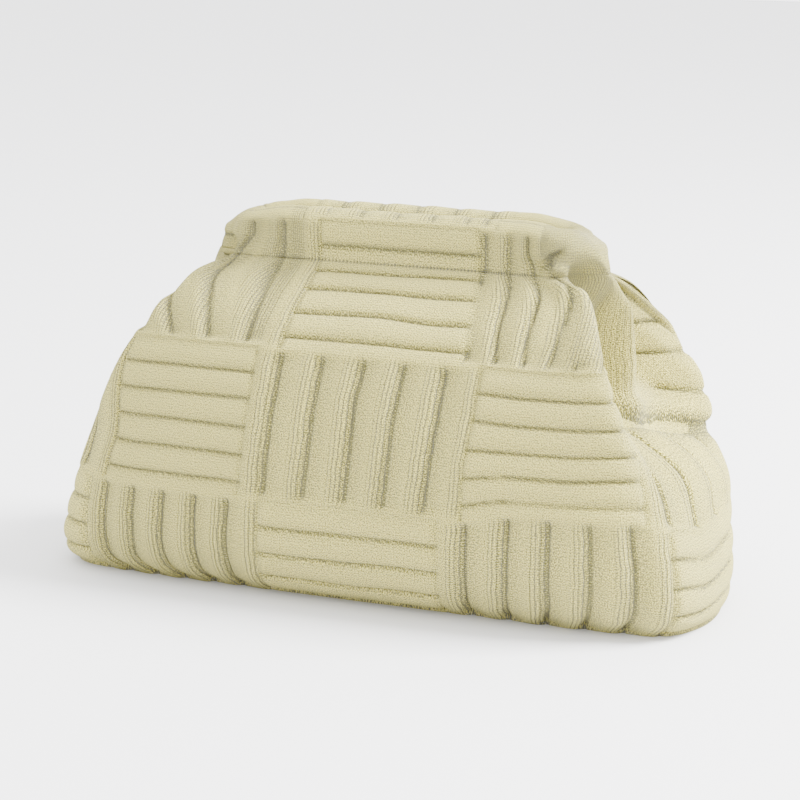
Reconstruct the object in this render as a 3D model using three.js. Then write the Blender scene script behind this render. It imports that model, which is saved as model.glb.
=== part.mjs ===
// Knitted pouch bag: a soft sack with a basket pattern of raised ribs, gathered to a closed frame
// that is hidden in a hem along the mouth. Millimetres, +Z up, the bag stands on z = 0 and its
// front faces -Y.
import * as THREE from 'three';

// Cloth coordinates: u counts the pattern's eight columns round the bag (0 front centre, 2 right
// end, 4 back centre, 6 left end) and v counts its rows from the bottom fold upwards.
const COLUMN_COUNT = 8;
const BOTTOM_V = 0.25;
const RIM_V = 2.73;
const ROW_LINES = [BOTTOM_V, 1, 2, RIM_V];

// Half outline of the sack at each height: the front's depth, the shoulder where the front turns
// back, the wing tip, the valley behind it, the middle of the end, and how much less the front
// right wing reaches than the others
const SECTION_COLUMNS = ['v', 'z', 'front', 'shoulderX', 'shoulderY', 'tipX', 'tipY',
  'valleyX', 'valleyY', 'endX', 'tuck'];
const SECTIONS = [
  [0.25, 0, 45, 122, 44, 159, 38, 171, 20, 174, 0],
  [0.42, 10, 60, 130, 57, 164, 46, 174, 24, 176, 0],
  [0.65, 28, 69, 131, 64, 163, 50, 172, 26, 174, 0],
  [1.00, 56, 71, 127, 66, 156, 52, 164, 27, 166, 1],
  [1.28, 77, 70, 121, 64, 149, 53, 153, 27, 154, 5],
  [1.48, 92, 67, 116, 62, 147, 53, 132, 21, 132, 9],
  [1.67, 106, 63, 111, 60, 141, 53, 111, 17, 115, 10],
  [1.90, 122, 57, 105, 56, 132, 50, 99, 15, 114, 9],
  [2.20, 141, 46, 96, 47, 121, 42, 92, 14, 112, 7],
  [2.50, 158, 29, 86, 31, 108, 28, 87, 12, 108, 8],
  [2.73, 167, 19, 76, 19, 90, 17, 88, 9, 99, 4],
].map((row) => Object.fromEntries(SECTION_COLUMNS.map((name, i) => [name, row[i]])));

// The soft top leans to the right: by LEAN at the rim, and by nothing at LEAN_LEVEL
const LEAN = 12;
const LEAN_LEVEL = 28;

// Share of the tuck of the front right wing that the valley behind it follows
const VALLEY_TUCK = 0.4;

// How the columns share the cloth from the front or back centre to an end, low on the sack and at
// the rim: half of the middle column's width, then the share of the rest up to the next column's
// middle and up to its far edge
const COLUMN_SPACING = {
  right: { low: [53, 0.32, 0.64], rim: [46, 0.52, 0.77] },
  left: { low: [54, 0.275, 0.55], rim: [48, 0.44, 0.8] },
  back: { low: [55, 0.33, 0.66], rim: [50, 0.46, 0.79] },
};

// Knitted ribs: sunk grooves between raised ribs
const UPRIGHT_GROOVES = [-0.4, -0.2, 0, 0.2, 0.4];
const UPRIGHT_GROOVE_HALF = 0.055;
const UPRIGHT_DEPTH = 3.2;
const LEVEL_RIBS_PER_ROW = 5.5;
const LEVEL_GROOVE_HALF = 0.045;
const LEVEL_DEPTH = 2.6;
const EDGE_FADE = 0.065;

// Facets of a plain patch: across a column, across an end column, which bends more, and up a row
const PLAIN_STEPS = 4;
const END_COLUMN_STEPS = 12;
const PLAIN_ROW_STEPS = 4;
const NORMAL_STEP = 0.02;

// Cloth thickness over a rib, and the floor of the sack
const CLOTH = 5.2;
const FLOOR = 4.5;

// Hem round the frame: its straight half length, its section and the slit of the mouth
const HEM_HALF_LENGTH = 78;
const HEM_CENTRE_X = 10;
const HEM_DEPTH = 17;
const HEM_HEIGHT = 25;
const HEM_BOTTOM = 167.5;
const HEM_WALL = 4.6;
const HEM_CORNER = 7;
const HEM_CAVITY_TALL = 13;
const HEM_CAVITY_CORNER = 2.5;
const HEM_CORNER_STEPS = 3;
const MOUTH_HALF = 3.1;
const HEM_MIDDLE_HALF = 46;
const HEM_CREASE_DEPTH = 2;
const HEM_RIB_DEPTH = 1.8;
const HEM_RIB_PITCH = 13;
const HEM_GROOVE_HALF = 3.5;
const HEM_GATHER_DEPTH = 1.2;
const HEM_LEVEL_HALF = 60;
const HEM_END_FALL = 0.42;
const HEM_END_TAPER = 0.55;
const END_FOLD_STEPS = 9;
const PIECE_GAP = 0.35;

// Frame bar
const BAR_THICK = HEM_DEPTH - 2 * HEM_WALL - 2 * PIECE_GAP;
const BAR_TALL = HEM_CAVITY_TALL - 2 * PIECE_GAP;
const BAR_CORNER = 2.2;
const BAR_CORNER_STEPS = 2;
const FRAME_TURN_STEPS = 8;

const KNIT = new THREE.MeshStandardMaterial({ color: 0xd3cba6, roughness: 0.92, metalness: 0 });
const HEM_KNIT = new THREE.MeshStandardMaterial({ color: 0xcdc49c, roughness: 0.92, metalness: 0 });
const STEEL = new THREE.MeshStandardMaterial({ color: 0x8f9296, roughness: 0.4, metalness: 1 });

// Smooth steps through a list of rows keyed by v
function sectionAt(v) {
  const last = SECTIONS.length - 1;
  let k = SECTIONS.findIndex((row, i) => i < last && v <= SECTIONS[i + 1].v);
  if (k < 0) k = last - 1;
  const span = SECTIONS[k + 1].v - SECTIONS[k].v;
  const t = (v - SECTIONS[k].v) / span;
  const size = {};
  for (const name of SECTION_COLUMNS) {
    const slope = (i) => {
      const a = Math.max(i - 1, 0);
      const b = Math.min(i + 1, last);
      return (SECTIONS[b][name] - SECTIONS[a][name]) / (SECTIONS[b].v - SECTIONS[a].v);
    };
    const from = SECTIONS[k][name];
    const to = SECTIONS[k + 1][name];
    const rise = to - from;
    const start = slope(k) * span;
    const end = slope(k + 1) * span;
    size[name] = from + t * (start + t * (3 * rise - 2 * start - end + t * (start + end - 2 * rise)));
  }
  return size;
}

// Closed outline of the sack at v, from the front centre round by the right end
const outlines = new Map();
function outlineAt(v) {
  const key = v.toFixed(5);
  if (!outlines.has(key)) {
    const s = sectionAt(v);
    const quarter = [[0, -s.front], [s.shoulderX / 2, -0.99 * s.front], [s.shoulderX, -s.shoulderY],
      [s.tipX, -s.tipY], [s.valleyX, -s.valleyY], [s.endX, 0]];
    const right = [...quarter, ...quarter.slice(0, -1).reverse().map(([x, y]) => [x, -y])];
    const left = right.slice(1, -1).reverse().map(([x, y]) => [-x, y]);
    right[3][0] -= s.tuck;
    right[4][0] -= s.tuck * VALLEY_TUCK;
    const points = [...right, ...left].map(([x, y]) => new THREE.Vector3(x, y, s.z));
    const curve = new THREE.CatmullRomCurve3(points, true, 'centripetal');
    curve.arcLengthDivisions = 600;
    outlines.set(key, curve);
  }
  return outlines.get(key);
}

// Cloth length from the front centre to column u on an outline whose quarter is given
function clothLength(u, quarter, v) {
  const rimShare = THREE.MathUtils.clamp((v - 2) / (RIM_V - 2), 0, 1);
  const toEnd = (columns, side) => {
    const [middle, halfway, edge] = side.low.map((low, i) => (
      THREE.MathUtils.lerp(low, side.rim[i], rimShare)));
    const rest = quarter - middle;
    const stops = [0, middle, middle + halfway * rest, middle + edge * rest, quarter];
    const k = Math.min(Math.floor(columns / 0.5), stops.length - 2);
    return THREE.MathUtils.lerp(stops[k], stops[k + 1], columns / 0.5 - k);
  };
  if (u <= 2) return toEnd(u, COLUMN_SPACING.right);
  if (u >= 6) return 4 * quarter - toEnd(8 - u, COLUMN_SPACING.left);
  return 2 * quarter + Math.sign(u - 4) * toEnd(Math.abs(4 - u), COLUMN_SPACING.back);
}

function smoothPoint(u, v) {
  const wrapped = ((u % COLUMN_COUNT) + COLUMN_COUNT) % COLUMN_COUNT;
  const curve = outlineAt(v);
  const total = curve.getLength();
  const along = clothLength(wrapped, total / 4, v) / total;
  const point = curve.getPointAt(THREE.MathUtils.clamp(along, 0, 0.99999));
  point.x += (LEAN * (point.z - LEAN_LEVEL)) / SECTIONS.at(-1).z;
  return point;
}

function smoothNormal(u, v) {
  const low = Math.max(v - NORMAL_STEP, BOTTOM_V);
  const high = Math.min(v + NORMAL_STEP, RIM_V);
  const across = smoothPoint(u + NORMAL_STEP, v).sub(smoothPoint(u - NORMAL_STEP, v));
  const up = smoothPoint(u, high).sub(smoothPoint(u, low));
  return across.cross(up).normalize();
}

// Depth of the pattern at a point of the cloth
function grooveDepth(u, v) {
  const column = Math.round(u);
  const row = Math.min(Math.floor(v), 2);
  if ((column + row) % 2 !== 0) {
    const nearest = Math.min(...UPRIGHT_GROOVES.map((g) => Math.abs(u - column - g)));
    const rowTop = row === 2 ? RIM_V : row + 1;
    const ends = Math.min(v - row, rowTop - v) / EDGE_FADE;
    return UPRIGHT_DEPTH * Math.max(0, 1 - nearest / UPRIGHT_GROOVE_HALF) * Math.min(1, ends);
  }
  const level = (v - row) * LEVEL_RIBS_PER_ROW - 0.5;
  const nearest = Math.abs(level - Math.round(level)) / LEVEL_RIBS_PER_ROW;
  const sides = (0.5 - Math.abs(u - column)) / EDGE_FADE;
  return LEVEL_DEPTH * Math.max(0, 1 - nearest / LEVEL_GROOVE_HALF) * Math.min(1, sides);
}

function outerPoint(u, v) {
  const depth = grooveDepth(u, v);
  const point = smoothPoint(u, v);
  if (depth > 0) {
    const sink = smoothNormal(u, v).multiplyScalar(-depth);
    if (v === BOTTOM_V) sink.z = 0;
    point.add(sink);
  }
  return point;
}

function innerPoint(u, v) {
  const inward = smoothNormal(u, v).multiplyScalar(-CLOTH);
  const point = smoothPoint(u, v);
  if (v === BOTTOM_V || v === RIM_V) inward.setZ(0).setLength(CLOTH);
  point.add(inward);
  return v === BOTTOM_V ? point.setZ(FLOOR) : point;
}

// Indexed mesh whose vertices are shared by their cloth coordinates
class ClothMesh {
  constructor() {
    this.positions = [];
    this.faces = [];
    this.known = new Map();
  }

  vertex(skin, u, v) {
    const wrapped = ((u % COLUMN_COUNT) + COLUMN_COUNT) % COLUMN_COUNT;
    const key = `${skin.name} ${(wrapped < 7.9999 ? wrapped : 0).toFixed(4)} ${v.toFixed(4)}`;
    if (!this.known.has(key)) {
      this.known.set(key, this.positions.length / 3);
      this.positions.push(...skin(u, v).toArray());
    }
    return this.known.get(key);
  }

  point(point) {
    this.positions.push(...point.toArray());
    return this.positions.length / 3 - 1;
  }

  triangle(a, b, c, flip) {
    if (a === b || b === c || a === c) return;
    this.faces.push(...(flip ? [a, c, b] : [a, b, c]));
  }

  // Band between two lines of [key, vertex] pairs that run the same way, whatever their counts
  zip(lower, upper, flip) {
    let i = 0;
    let j = 0;
    while (i < lower.length - 1 || j < upper.length - 1) {
      const nextLower = i < lower.length - 1 ? lower[i + 1][0] : Infinity;
      const nextUpper = j < upper.length - 1 ? upper[j + 1][0] : Infinity;
      if (nextLower <= nextUpper) {
        this.triangle(lower[i][1], lower[i + 1][1], upper[j][1], flip);
        i += 1;
      } else {
        this.triangle(lower[i][1], upper[j + 1][1], upper[j][1], flip);
        j += 1;
      }
    }
  }

  // Skin through rings of equal count
  wrap(rings, endless, flip) {
    const spans = endless ? rings.length : rings.length - 1;
    for (let i = 0; i < spans; i += 1) {
      const ring = rings[i];
      const next = rings[(i + 1) % rings.length];
      ring.forEach((a, j) => {
        const k = (j + 1) % ring.length;
        this.triangle(a, ring[k], next[k], flip);
        this.triangle(a, next[k], next[j], flip);
      });
    }
  }

  // Flat face inside a ring of vertices, seen from above or below
  cap(ring, faceUp) {
    const flat = ring.map((i) => new THREE.Vector2(this.positions[3 * i], this.positions[3 * i + 1]));
    for (const [a, b, c] of THREE.ShapeUtils.triangulateShape(flat, [])) {
      this.triangle(ring[a], ring[b], ring[c], !faceUp);
    }
  }

  geometry() {
    const geometry = new THREE.BufferGeometry();
    geometry.setAttribute('position', new THREE.Float32BufferAttribute(this.positions, 3));
    geometry.setIndex(this.faces);
    geometry.computeVertexNormals();
    return geometry;
  }
}

// Places across a column where its plain edges are divided
function plainColumns(column) {
  const steps = column % 4 === 2 ? END_COLUMN_STEPS : PLAIN_STEPS;
  const half = 0.5 - EDGE_FADE;
  const inside = Array.from({ length: steps + 1 }, (_, i) => column - half + (2 * half * i) / steps);
  return [column - 0.5, ...inside, column + 0.5];
}

function ribbedColumns(column) {
  const edges = UPRIGHT_GROOVES.flatMap((g) => [g - UPRIGHT_GROOVE_HALF, g, g + UPRIGHT_GROOVE_HALF]);
  return [-0.5, ...edges, 0.5].map((offset) => column + offset);
}

function plainRows(from, to) {
  const low = from === BOTTOM_V ? from : from + EDGE_FADE;
  const high = to === RIM_V ? to : to - EDGE_FADE;
  const inside = Array.from({ length: PLAIN_ROW_STEPS + 1 }, (_, i) => (
    low + ((high - low) * i) / PLAIN_ROW_STEPS));
  return [...new Set([from, ...inside, to])];
}

function ribbedRows(from, to) {
  const row = Math.floor(from);
  const rows = [from];
  for (let k = 0.5; k < LEVEL_RIBS_PER_ROW; k += 1) {
    const centre = row + k / LEVEL_RIBS_PER_ROW;
    const fits = centre - LEVEL_GROOVE_HALF > from && centre + LEVEL_GROOVE_HALF < to;
    if (fits) rows.push(centre - LEVEL_GROOVE_HALF, centre, centre + LEVEL_GROOVE_HALF);
  }
  return [...rows, to];
}

function uprightPatch(mesh, column, from, to) {
  const rows = plainRows(from, to);
  const fine = ribbedColumns(column);
  const coarse = plainColumns(column);
  const line = (columns, v) => columns.map((u) => [u, mesh.vertex(outerPoint, u, v)]);
  for (let i = 0; i < rows.length - 1; i += 1) {
    const lowerColumns = rows[i] === from && from !== BOTTOM_V ? coarse : fine;
    const upperColumns = rows[i + 1] === to ? coarse : fine;
    mesh.zip(line(lowerColumns, rows[i]), line(upperColumns, rows[i + 1]), false);
  }
}

function levelPatch(mesh, column, from, to) {
  const columns = plainColumns(column);
  const fine = ribbedRows(from, to);
  const coarse = plainRows(from, to);
  const line = (rows, u) => rows.map((v) => [v, mesh.vertex(outerPoint, u, v)]);
  const last = columns.length - 1;
  for (let i = 0; i < last; i += 1) {
    const leftRows = i === 0 ? coarse : fine;
    const rightRows = i + 1 === last ? coarse : fine;
    mesh.zip(line(leftRows, columns[i]), line(rightRows, columns[i + 1]), true);
  }
}

// The sack: ribbed outside, smooth inside, open at the rim
function sackGeometry() {
  const mesh = new ClothMesh();
  const columns = Array.from({ length: COLUMN_COUNT }, (_, i) => i);
  for (let row = 0; row < ROW_LINES.length - 1; row += 1) {
    for (const column of columns) {
      const patch = (column + row) % 2 ? uprightPatch : levelPatch;
      patch(mesh, column, ROW_LINES[row], ROW_LINES[row + 1]);
    }
  }
  const ring = (skin, v, divide) => columns.flatMap((column) => divide(column).slice(0, -1)
    .map((u) => [u, mesh.vertex(skin, u, v)]));
  const closed = (line) => [...line, [line[0][0] + COLUMN_COUNT, line[0][1]]];
  const innerRows = SECTIONS.map((s) => s.v);
  for (let i = 0; i < innerRows.length - 1; i += 1) {
    const lower = closed(ring(innerPoint, innerRows[i], plainColumns));
    const upper = closed(ring(innerPoint, innerRows[i + 1], plainColumns));
    mesh.zip(lower, upper, true);
  }
  const rimInside = closed(ring(innerPoint, RIM_V, plainColumns));
  const rimOutside = closed(ring(outerPoint, RIM_V, plainColumns));
  mesh.zip(rimOutside, rimInside, false);
  const soleColumns = (column) => (column % 2 ? ribbedColumns(column) : plainColumns(column));
  mesh.cap(ring(outerPoint, BOTTOM_V, soleColumns).map(([, i]) => i), false);
  mesh.cap(ring(innerPoint, BOTTOM_V, plainColumns).map(([, i]) => i), true);
  return mesh.geometry();
}

// Rounded rectangle as [across, up] points about its centre, counterclockwise from the right
function roundedRectangle(width, height, corner, cornerSteps) {
  const points = [];
  for (let quadrant = 0; quadrant < 4; quadrant += 1) {
    const sx = quadrant === 0 || quadrant === 3 ? 1 : -1;
    const sy = quadrant < 2 ? 1 : -1;
    for (let i = 0; i <= cornerSteps; i += 1) {
      const angle = (quadrant + i / cornerSteps) * (Math.PI / 2);
      points.push([sx * (width / 2 - corner) + corner * Math.cos(angle),
        sy * (height / 2 - corner) + corner * Math.sin(angle)]);
    }
  }
  return points;
}

// Tube through sections that are rings of points: open ends get a flat edge between the skins
function tubeGeometry(outerRings, innerRings, endless) {
  const mesh = new ClothMesh();
  const indexed = (rings) => rings.map((ring) => ring.map((point) => mesh.point(point)));
  const outer = indexed(outerRings);
  mesh.wrap(outer, endless, false);
  if (innerRings) {
    const inner = indexed(innerRings);
    mesh.wrap(inner, endless, true);
    mesh.wrap([inner[0], outer[0]], false, false);
    mesh.wrap([outer.at(-1), inner.at(-1)], false, false);
  }
  return mesh.geometry();
}

const HEM_CENTRE_Y = MOUTH_HALF + HEM_DEPTH / 2;
const HEM_CENTRE_Z = HEM_BOTTOM + HEM_HEIGHT / 2;
const HEM_SECTION = roundedRectangle(HEM_DEPTH, HEM_HEIGHT, HEM_CORNER, HEM_CORNER_STEPS);
const CAVITY_UP = HEM_WALL + HEM_CAVITY_TALL / 2 - HEM_HEIGHT / 2;
const HEM_CAVITY = roundedRectangle(HEM_DEPTH - 2 * HEM_WALL, HEM_CAVITY_TALL, HEM_CAVITY_CORNER,
  HEM_CORNER_STEPS).map(([outward, up]) => [outward, up + CAVITY_UP]);
const BAR_SECTION = roundedRectangle(BAR_THICK, BAR_TALL, BAR_CORNER, BAR_CORNER_STEPS)
  .map(([outward, up]) => [outward, up + CAVITY_UP]);

// The hem runs round the mouth as a racetrack. A section's points are [outward, up] from its
// centre line, on a straight side (side -1 front, 1 back) or round an end (end -1 left, 1 right).
function straightRing(section, x, side) {
  return section.map(([outward, up]) => new THREE.Vector3(
    HEM_CENTRE_X + x, side * (HEM_CENTRE_Y + outward), HEM_CENTRE_Z + up));
}

function endRing(section, angle, end) {
  return section.map(([outward, up]) => new THREE.Vector3(
    HEM_CENTRE_X + end * HEM_HALF_LENGTH + (HEM_CENTRE_Y + outward) * Math.cos(angle),
    (HEM_CENTRE_Y + outward) * Math.sin(angle), HEM_CENTRE_Z + up));
}

// The hem's section at x, where a rib's groove or the crease under its top sinks it. Its top is
// lower towards the ends.
function hemSection(x, groove, crease) {
  const creaseHeight = HEM_HEIGHT / 2 - HEM_CORNER;
  const toEnd = THREE.MathUtils.smoothstep(Math.abs(x), HEM_LEVEL_HALF, HEM_HALF_LENGTH + HEM_DEPTH);
  return HEM_SECTION.map(([outward, up]) => {
    const onCrease = outward > 0 && Math.abs(up - creaseHeight) < 1;
    const covered = outward < 1 - HEM_DEPTH / 2 || up < 1 - HEM_HEIGHT / 2;
    const sink = covered ? 0 : groove + (onCrease ? crease : 0);
    const reach = Math.hypot(outward, up);
    const fall = up > 0 ? 1 - HEM_END_FALL * toEnd : 1;
    return [outward * (1 - sink / reach), up * fall * (1 - sink / reach)];
  });
}

// One straight side of the hem: a long level rib in the middle and upright ribs beside it
function hemGeometry(side) {
  const beside = [0, 1, 2].flatMap((k) => {
    const groove = HEM_MIDDLE_HALF + k * HEM_RIB_PITCH;
    return [[groove - HEM_GROOVE_HALF, 0], [groove, HEM_RIB_DEPTH], [groove + HEM_GROOVE_HALF, 0]];
  });
  const right = [[HEM_MIDDLE_HALF / 3, 0], ...beside, [HEM_HALF_LENGTH, 0]];
  const left = right.map(([x, groove]) => [-x, groove]).reverse();
  const stations = [...left, ...right].reverse();
  const along = side < 0 ? stations : stations.reverse();
  const outer = along.map(([x, groove]) => {
    const crease = Math.abs(x) < HEM_MIDDLE_HALF ? HEM_CREASE_DEPTH : 0;
    return straightRing(hemSection(x, groove, crease), x, side);
  });
  const inner = along.map(([x]) => straightRing(HEM_CAVITY, x, side));
  return tubeGeometry(outer, inner, false);
}

// The hem's turn round an end of the frame, with gathers where the cloth bends
function endFoldGeometry(end) {
  const gap = PIECE_GAP / HEM_CENTRE_Y;
  const start = end > 0 ? Math.PI / 2 : (3 * Math.PI) / 2;
  const angles = Array.from({ length: END_FOLD_STEPS + 1 }, (_, i) => (
    start - gap - ((Math.PI - 2 * gap) * i) / END_FOLD_STEPS));
  const outer = angles.map((angle, i) => {
    const gather = i % 3 === 1 ? HEM_GATHER_DEPTH : 0;
    const turned = Math.abs(Math.cos(angle));
    const section = hemSection(HEM_HALF_LENGTH + HEM_CENTRE_Y * turned, gather, 0);
    const tapered = section.map(([outward, up]) => (
      [outward > 0 ? outward - HEM_END_TAPER * turned * Math.max(up, 0) : outward, up]));
    return endRing(tapered, angle, end);
  });
  const inner = angles.map((angle) => endRing(HEM_CAVITY, angle, end));
  return tubeGeometry(outer, inner, false);
}

// Closed frame: two straight bars joined round both ends
function frameGeometry() {
  const turn = (end, start) => Array.from({ length: FRAME_TURN_STEPS + 1 }, (_, i) => (
    endRing(BAR_SECTION, start - (Math.PI * i) / FRAME_TURN_STEPS, end)));
  return tubeGeometry([...turn(1, Math.PI / 2), ...turn(-1, (3 * Math.PI) / 2)], null, true);
}

const bag = new THREE.Group();
function addPiece(name, geometry, material) {
  const piece = new THREE.Mesh(geometry, material);
  piece.name = name;
  bag.add(piece);
}
addPiece('body', sackGeometry(), KNIT);
addPiece('front_casing', hemGeometry(-1), HEM_KNIT);
addPiece('back_casing', hemGeometry(1), HEM_KNIT);
addPiece('left_end_fold', endFoldGeometry(-1), HEM_KNIT);
addPiece('right_end_fold', endFoldGeometry(1), HEM_KNIT);
addPiece('frame', frameGeometry(), STEEL);

export default bag;
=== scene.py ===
"""Looks of the knitted pouch bag: ribbed sack, rolled hem round the mouth and its end folds."""
import math

import bpy
import numpy as np
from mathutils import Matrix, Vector


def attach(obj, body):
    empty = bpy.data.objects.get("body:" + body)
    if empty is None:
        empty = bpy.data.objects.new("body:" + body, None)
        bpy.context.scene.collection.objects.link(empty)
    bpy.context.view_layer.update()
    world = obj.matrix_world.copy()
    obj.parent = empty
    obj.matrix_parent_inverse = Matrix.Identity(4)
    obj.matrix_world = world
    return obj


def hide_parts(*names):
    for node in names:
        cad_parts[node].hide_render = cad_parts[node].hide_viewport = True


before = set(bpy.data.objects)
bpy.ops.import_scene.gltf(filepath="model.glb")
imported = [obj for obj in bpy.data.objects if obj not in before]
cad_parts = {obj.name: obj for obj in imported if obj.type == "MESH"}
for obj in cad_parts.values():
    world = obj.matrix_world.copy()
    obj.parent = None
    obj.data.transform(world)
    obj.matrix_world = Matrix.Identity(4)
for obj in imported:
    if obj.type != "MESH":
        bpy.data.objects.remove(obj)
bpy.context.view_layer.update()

# The cloth's own coordinates: u counts the pattern's columns round the bag (0 front centre, 2 right
# end, 4 back centre, 6 left end) and v its rows from the bottom fold up. Lengths are in mm
MM = 0.001
COLUMN_COUNT = 8
COLUMN_MM, ROW_MM = 108, 77
GATHERED_MM = 49
BOTTOM_V, RIM_V = 0.25, 2.73
GATHER_V = 2

# Shape of the sack, as in the CAD model
SECTION_COLUMNS = ("v", "z", "front", "shoulder_x", "shoulder_y", "tip_x", "tip_y",
                   "valley_x", "valley_y", "end_x", "tuck")
SECTIONS = np.array([
    (0.25, 0, 45, 122, 44, 159, 38, 171, 20, 174, 0),
    (0.42, 10, 60, 130, 57, 164, 46, 174, 24, 176, 0),
    (0.65, 28, 69, 131, 64, 163, 50, 172, 26, 174, 0),
    (1.00, 56, 71, 127, 66, 156, 52, 164, 27, 166, 1),
    (1.28, 77, 70, 121, 64, 149, 53, 153, 27, 154, 5),
    (1.48, 92, 67, 116, 62, 147, 53, 132, 21, 132, 9),
    (1.67, 106, 63, 111, 60, 141, 53, 111, 17, 115, 10),
    (1.90, 122, 57, 105, 56, 132, 50, 99, 15, 114, 9),
    (2.20, 141, 46, 96, 47, 121, 42, 92, 14, 112, 7),
    (2.50, 158, 29, 86, 31, 108, 28, 87, 12, 108, 8),
    (2.73, 167, 19, 76, 19, 90, 17, 88, 9, 99, 4),
], float)
FRONT_CROWN = 0.99
VALLEY_TUCK = 0.4
LEAN, LEAN_LEVEL = 12, 28
LEAN_PER_MM = LEAN / SECTIONS[-1, 1]
# Share of the cloth between the columns, low on the sack and at the rim: half of the middle
# column (mm), then parts of the rest up to the next column's middle and far edge
COLUMN_SPACING = {"right": ((53, 0.32, 0.64), (46, 0.52, 0.77)),
                  "left": ((54, 0.275, 0.55), (48, 0.44, 0.8)),
                  "back": ((55, 0.27, 0.53), (50, 0.42, 0.72))}
CLOTH = 5.2
FLOOR = 4.5

# Hem round the frame, as in the CAD model
HEM_HALF_LENGTH = 78
HEM_CENTRE = (10, 0, 180)
HEM_SIZE = (17, 25)
HEM_ROUND, HEM_LOW_ROUND = 8, 4
HEM_SLIT = 0.2
ARC_STEPS = 12
MOUTH_HALF = 3.1
HEM_LEVEL_HALF = 60
HEM_END_FALL = 0.42
HEM_END_TAPER = 0.55
# Its foot lies on the sack's rim: how high above the foot it leaves the rim, and how wide it lies
FOOT_LEAVES = (0.5, 11)
FOOT_INNER, FOOT_WIDTH = -4, 12.3
FOOT_TOP = 1 - HEM_SIZE[1] / 2

# Mesh steps: columns round the bag and rows up the sack, rows of lining, steps over the hem
SACK_STEPS = (600, 140)
LINING_ROWS = 10
HEM_STEPS, HEM_HIDDEN_STEPS = 52, 6
HEM_VISIBLE = 56
PIECE_GAP = 0.12
# Where the mesh is finer: how many more points there, and over what distance
GROOVE_NEAR, COLUMN_CROWD, ROW_CROWD = 0.13, 1.3, 1.2
FOLD_CROWD, FOLD_NEAR = 0.6, 0.5
EDGE_CROWD, EDGE_NEAR = 0.8, 0.03
# Sole: its rings' share of the way out from the middle line, that line's half length, and how far
# the sole's cloth coordinates lie from those of the sides
SOLE_RINGS = (0.8, 0.5, 0.1)
SOLE_MIDDLE = 120
SOLE_SHIFT = 1000

# Ribs: how many to a block, their depth, and how far a block of upright ribs reaches to the left
# and right of its column's middle (in columns)
UPRIGHT_RIBS, UPRIGHT_DEPTH = 5, 3.7
LEVEL_RIBS, LEVEL_DEPTH = 5.5, 2.75
UPRIGHT_LEFT, UPRIGHT_RIGHT = 0.52, 0.56
# Across an upright rib (0 to 1) the knit rises in a step, climbs slowly and falls to the next
# groove. A level rib is part steep edge, part round crown
STEP_SHARE, STEP_END, CLIMB_START, CLIMB_END = 0.45, 0.06, 0.04, 0.64
FALL = (0.70, 0.99)
LEVEL_EDGE_SHARE, LEVEL_EDGE = 0.56, 0.12
# How softly the blocks end: how near the next block (mm) the grooves fade, and what is left
UPRIGHT_ENDS = (0.4, 4.5)
LEVEL_ENDS, LEVEL_END_REST = (0.3, 4.5), 0.3
TOP_EDGE_MM, TOP_EDGE_REST = 3.5, 0.25
# Soft noise, as (size, seed, cells round the bag, cells up): how much the relief swells, how the
# cloth lies in lumps (mm), and how far the pattern strays from its columns and rows
SWELL = (0.14, 15, 60, 24)
LUMPS, LUMPS_ON_HEM, LUMPS_START, LUMPS_FADE = (0.9, 21, 24, 9), 0.5, 0.4, 4
STRAYS_U = ((0.006, 11, 40, 12), (0.002, 12, 120, 40))
STRAYS_V = ((0.008, 13, 30, 12), (0.001, 14, 120, 40))
CALM_LOW, CALM_RIM, CALM_REST = 0.3, 0.25, 0.3

# Colour marks: the lined band of each upright rib, the painted shadow line (partly also the knit's holes)
# in its groove and in a level groove, and how near the next block (mm) each fades
LINED, LINED_ENDS = (0.46, 0.60), (0, 4)
GROOVE_SHIFT, GROOVE_SHADE_WIDTH, GROOVE_ENDS = 0.02, 0.030, (0.5, 4)
LEVEL_SHADE_WIDTH, LEVEL_SHADE_ENDS = 0.04, (0, 3)
LEVEL_SHADE, TOP_EDGE_SHADE = 0.8, 0.2
SEAM_HALF_MM, SEAM_FADE = 1.4, (0.75, 0.95)
# Cap on the sunk mask, whose depth darkens the knit as painted shade
MOST_SUNK = 1.5

# Hem: the groove of its front, and how the relief calms over its top, at its ends and at its foot
HEM_CREASE, HEM_CREASE_V, HEM_CREASE_HALF, HEM_CREASE_ENDS = 0.7, 2.818, 0.022, 8
HEM_TOP, HEM_TOP_RELIEF = (14, 26), 0.2
HEM_END_CALM, HEM_END_CALM_MM = 0.65, 6
HEM_SHOWN_TO, HEM_END_SHORTER, HEM_FADE = HEM_VISIBLE - 14, 20, 12
RIM_CALM, RIM_CALM_MM = 0.55, 2.6
RIM_LEVEL_MM = 5
DEEPEST_ON_HEM = 3.2

# Ribs that are gathered unevenly near the hem, right and left of the front: between which columns,
# where they start, how far they bow aside, how close they lie low down, how much less so at the
# rim, and the share of a column that is taken off
GATHERS = ((0.45, 1.55, 0.5, 0.045, 1.4, 0.3, 0),
           (-1.55, -0.4, -0.5, -0.02, 0.8, 0.37, 0.5))

# Folds at the front right of the hem. Places are (columns right of the front centre, rows).
# Each fold: from, to, how far it stands out (a crease is less than 0), width, soft share of its ends
FOLDS = (((0.98, 2.76), (1.42, 2.81), 3.4, 2.8, 0.30),
         ((0.96, 2.79), (1.34, 2.89), -4.8, 1.4, 0.12),
         ((1.00, 2.68), (1.10, 2.05), 3.6, 4.4, 0.20),
         ((0.97, 2.76), (1.20, 2.44), -3.0, 1.5, 0.12),
         ((0.90, 2.72), (0.84, 2.05), -1.6, 2.2, 0.12),
         ((1.26, 2.70), (1.36, 2.10), -2.0, 1.6, 0.12))
# The pinch and the puff above it: middle, half widths, how far it stands out (mm)
PUFFS = (((0.95, 2.77), (0.045, 0.05), -3.4),
         ((1.45, 2.97), (0.33, 0.12), 3.2))
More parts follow.
